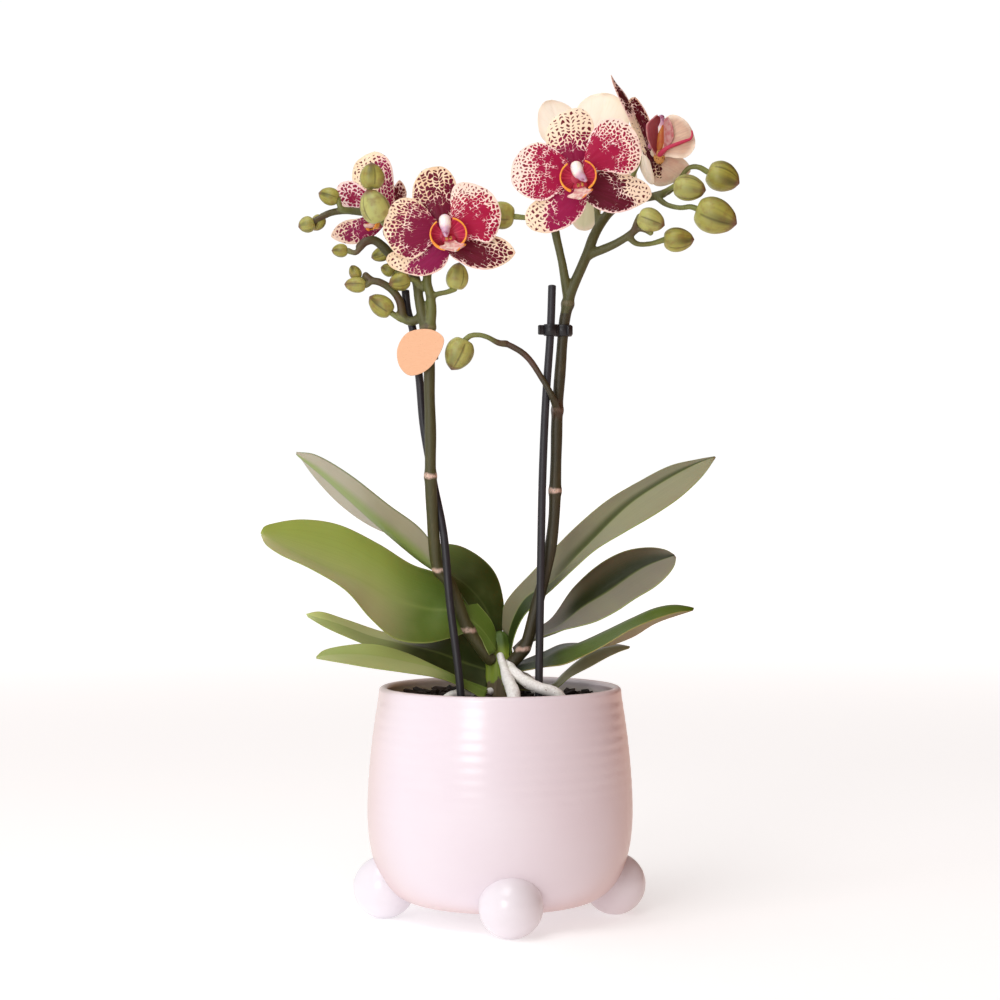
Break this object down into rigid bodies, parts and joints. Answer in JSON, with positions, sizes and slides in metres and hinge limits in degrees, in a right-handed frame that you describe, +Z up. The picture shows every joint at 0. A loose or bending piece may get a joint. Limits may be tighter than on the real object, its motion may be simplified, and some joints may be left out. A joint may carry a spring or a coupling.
{
  "type": "potted moth orchid",
  "caption": "Moth orchid with two supported flower spikes, open spotted blooms, buds and strap leaves, in a glazed barrel-shaped pot on ball feet.",
  "frame": {"origin": "on the ground, under the middle of the pot", "axes": "+Z up the plant, -Y towards the side that the front blooms face, +X to the right seen from there"},
  "size_m": [0.2252, 0.1388, 0.3991],
  "materials": {
    "glaze": "glossy pale pink glaze",
    "bark": "rough dark potting bark",
    "crown": "fleshy stem, satin; matte_plastic stands in for plant tissue",
    "root": "dry silvery root skin, matte",
    "leaf": "waxy leaf, satin",
    "leaf_pale": "waxy leaf with its paler underside, satin",
    "stem": "flower spike, satin",
    "stick": "dark support stick",
    "clip": "black moulded plastic",
    "card": "bare printed card, matte",
    "tepal": "soft sepals and petals, cream with crimson; fabric stands in for petal tissue",
    "lip": "crimson lip with orange edges",
    "column": "waxy white and pink column",
    "bud": "olive bud, satin"
  },
  "bodies": {
    "root": {"pot": "glaze", "bark": "bark", "crown": "crown", "root_front": "root", "root_right": "root", "root_back": "root", "root_left": "root", "leaf_right_4": "leaf", "leaf_right_3": "leaf", "leaf_right_2": "leaf", "leaf_right_1": "leaf", "leaf_left_4": "leaf_pale", "leaf_left_3": "leaf_pale", "leaf_left_1": "leaf_pale", "leaf_left_2": "leaf_pale", "spike_left": "stem", "spike_right": "stem", "stake_left": "stick", "stake_right": "stick", "clip_left": "clip", "clip_right": "clip", "tag": "card", "flower_left_front_tepals": "tepal", "flower_left_front_lip": "lip", "flower_left_front_column": "column", "flower_right_front_tepals": "tepal", "flower_right_front_lip": "lip", "flower_right_front_column": "column", "flower_right_back_tepals": "tepal", "flower_right_back_lip": "lip", "flower_right_back_column": "column", "flower_right_side_tepals": "tepal", "flower_right_side_lip": "lip", "flower_right_side_column": "column", "flower_left_back_tepals": "tepal", "flower_left_back_lip": "lip", "flower_left_back_column": "column", "bud_01": "bud", "bud_02": "bud", "bud_03": "bud", "bud_04": "bud", "bud_05": "bud", "bud_06": "bud", "bud_07": "bud", "bud_08": "bud", "bud_09": "bud", "bud_10": "bud", "bud_11": "bud", "bud_12": "bud", "bud_13": "bud", "bud_14": "bud", "bud_15": "bud", "bud_16": "bud", "bud_17": "bud", "bud_18": "bud", "bud_19": "bud", "bud_20": "bud"}
  },
  "joints": []
}
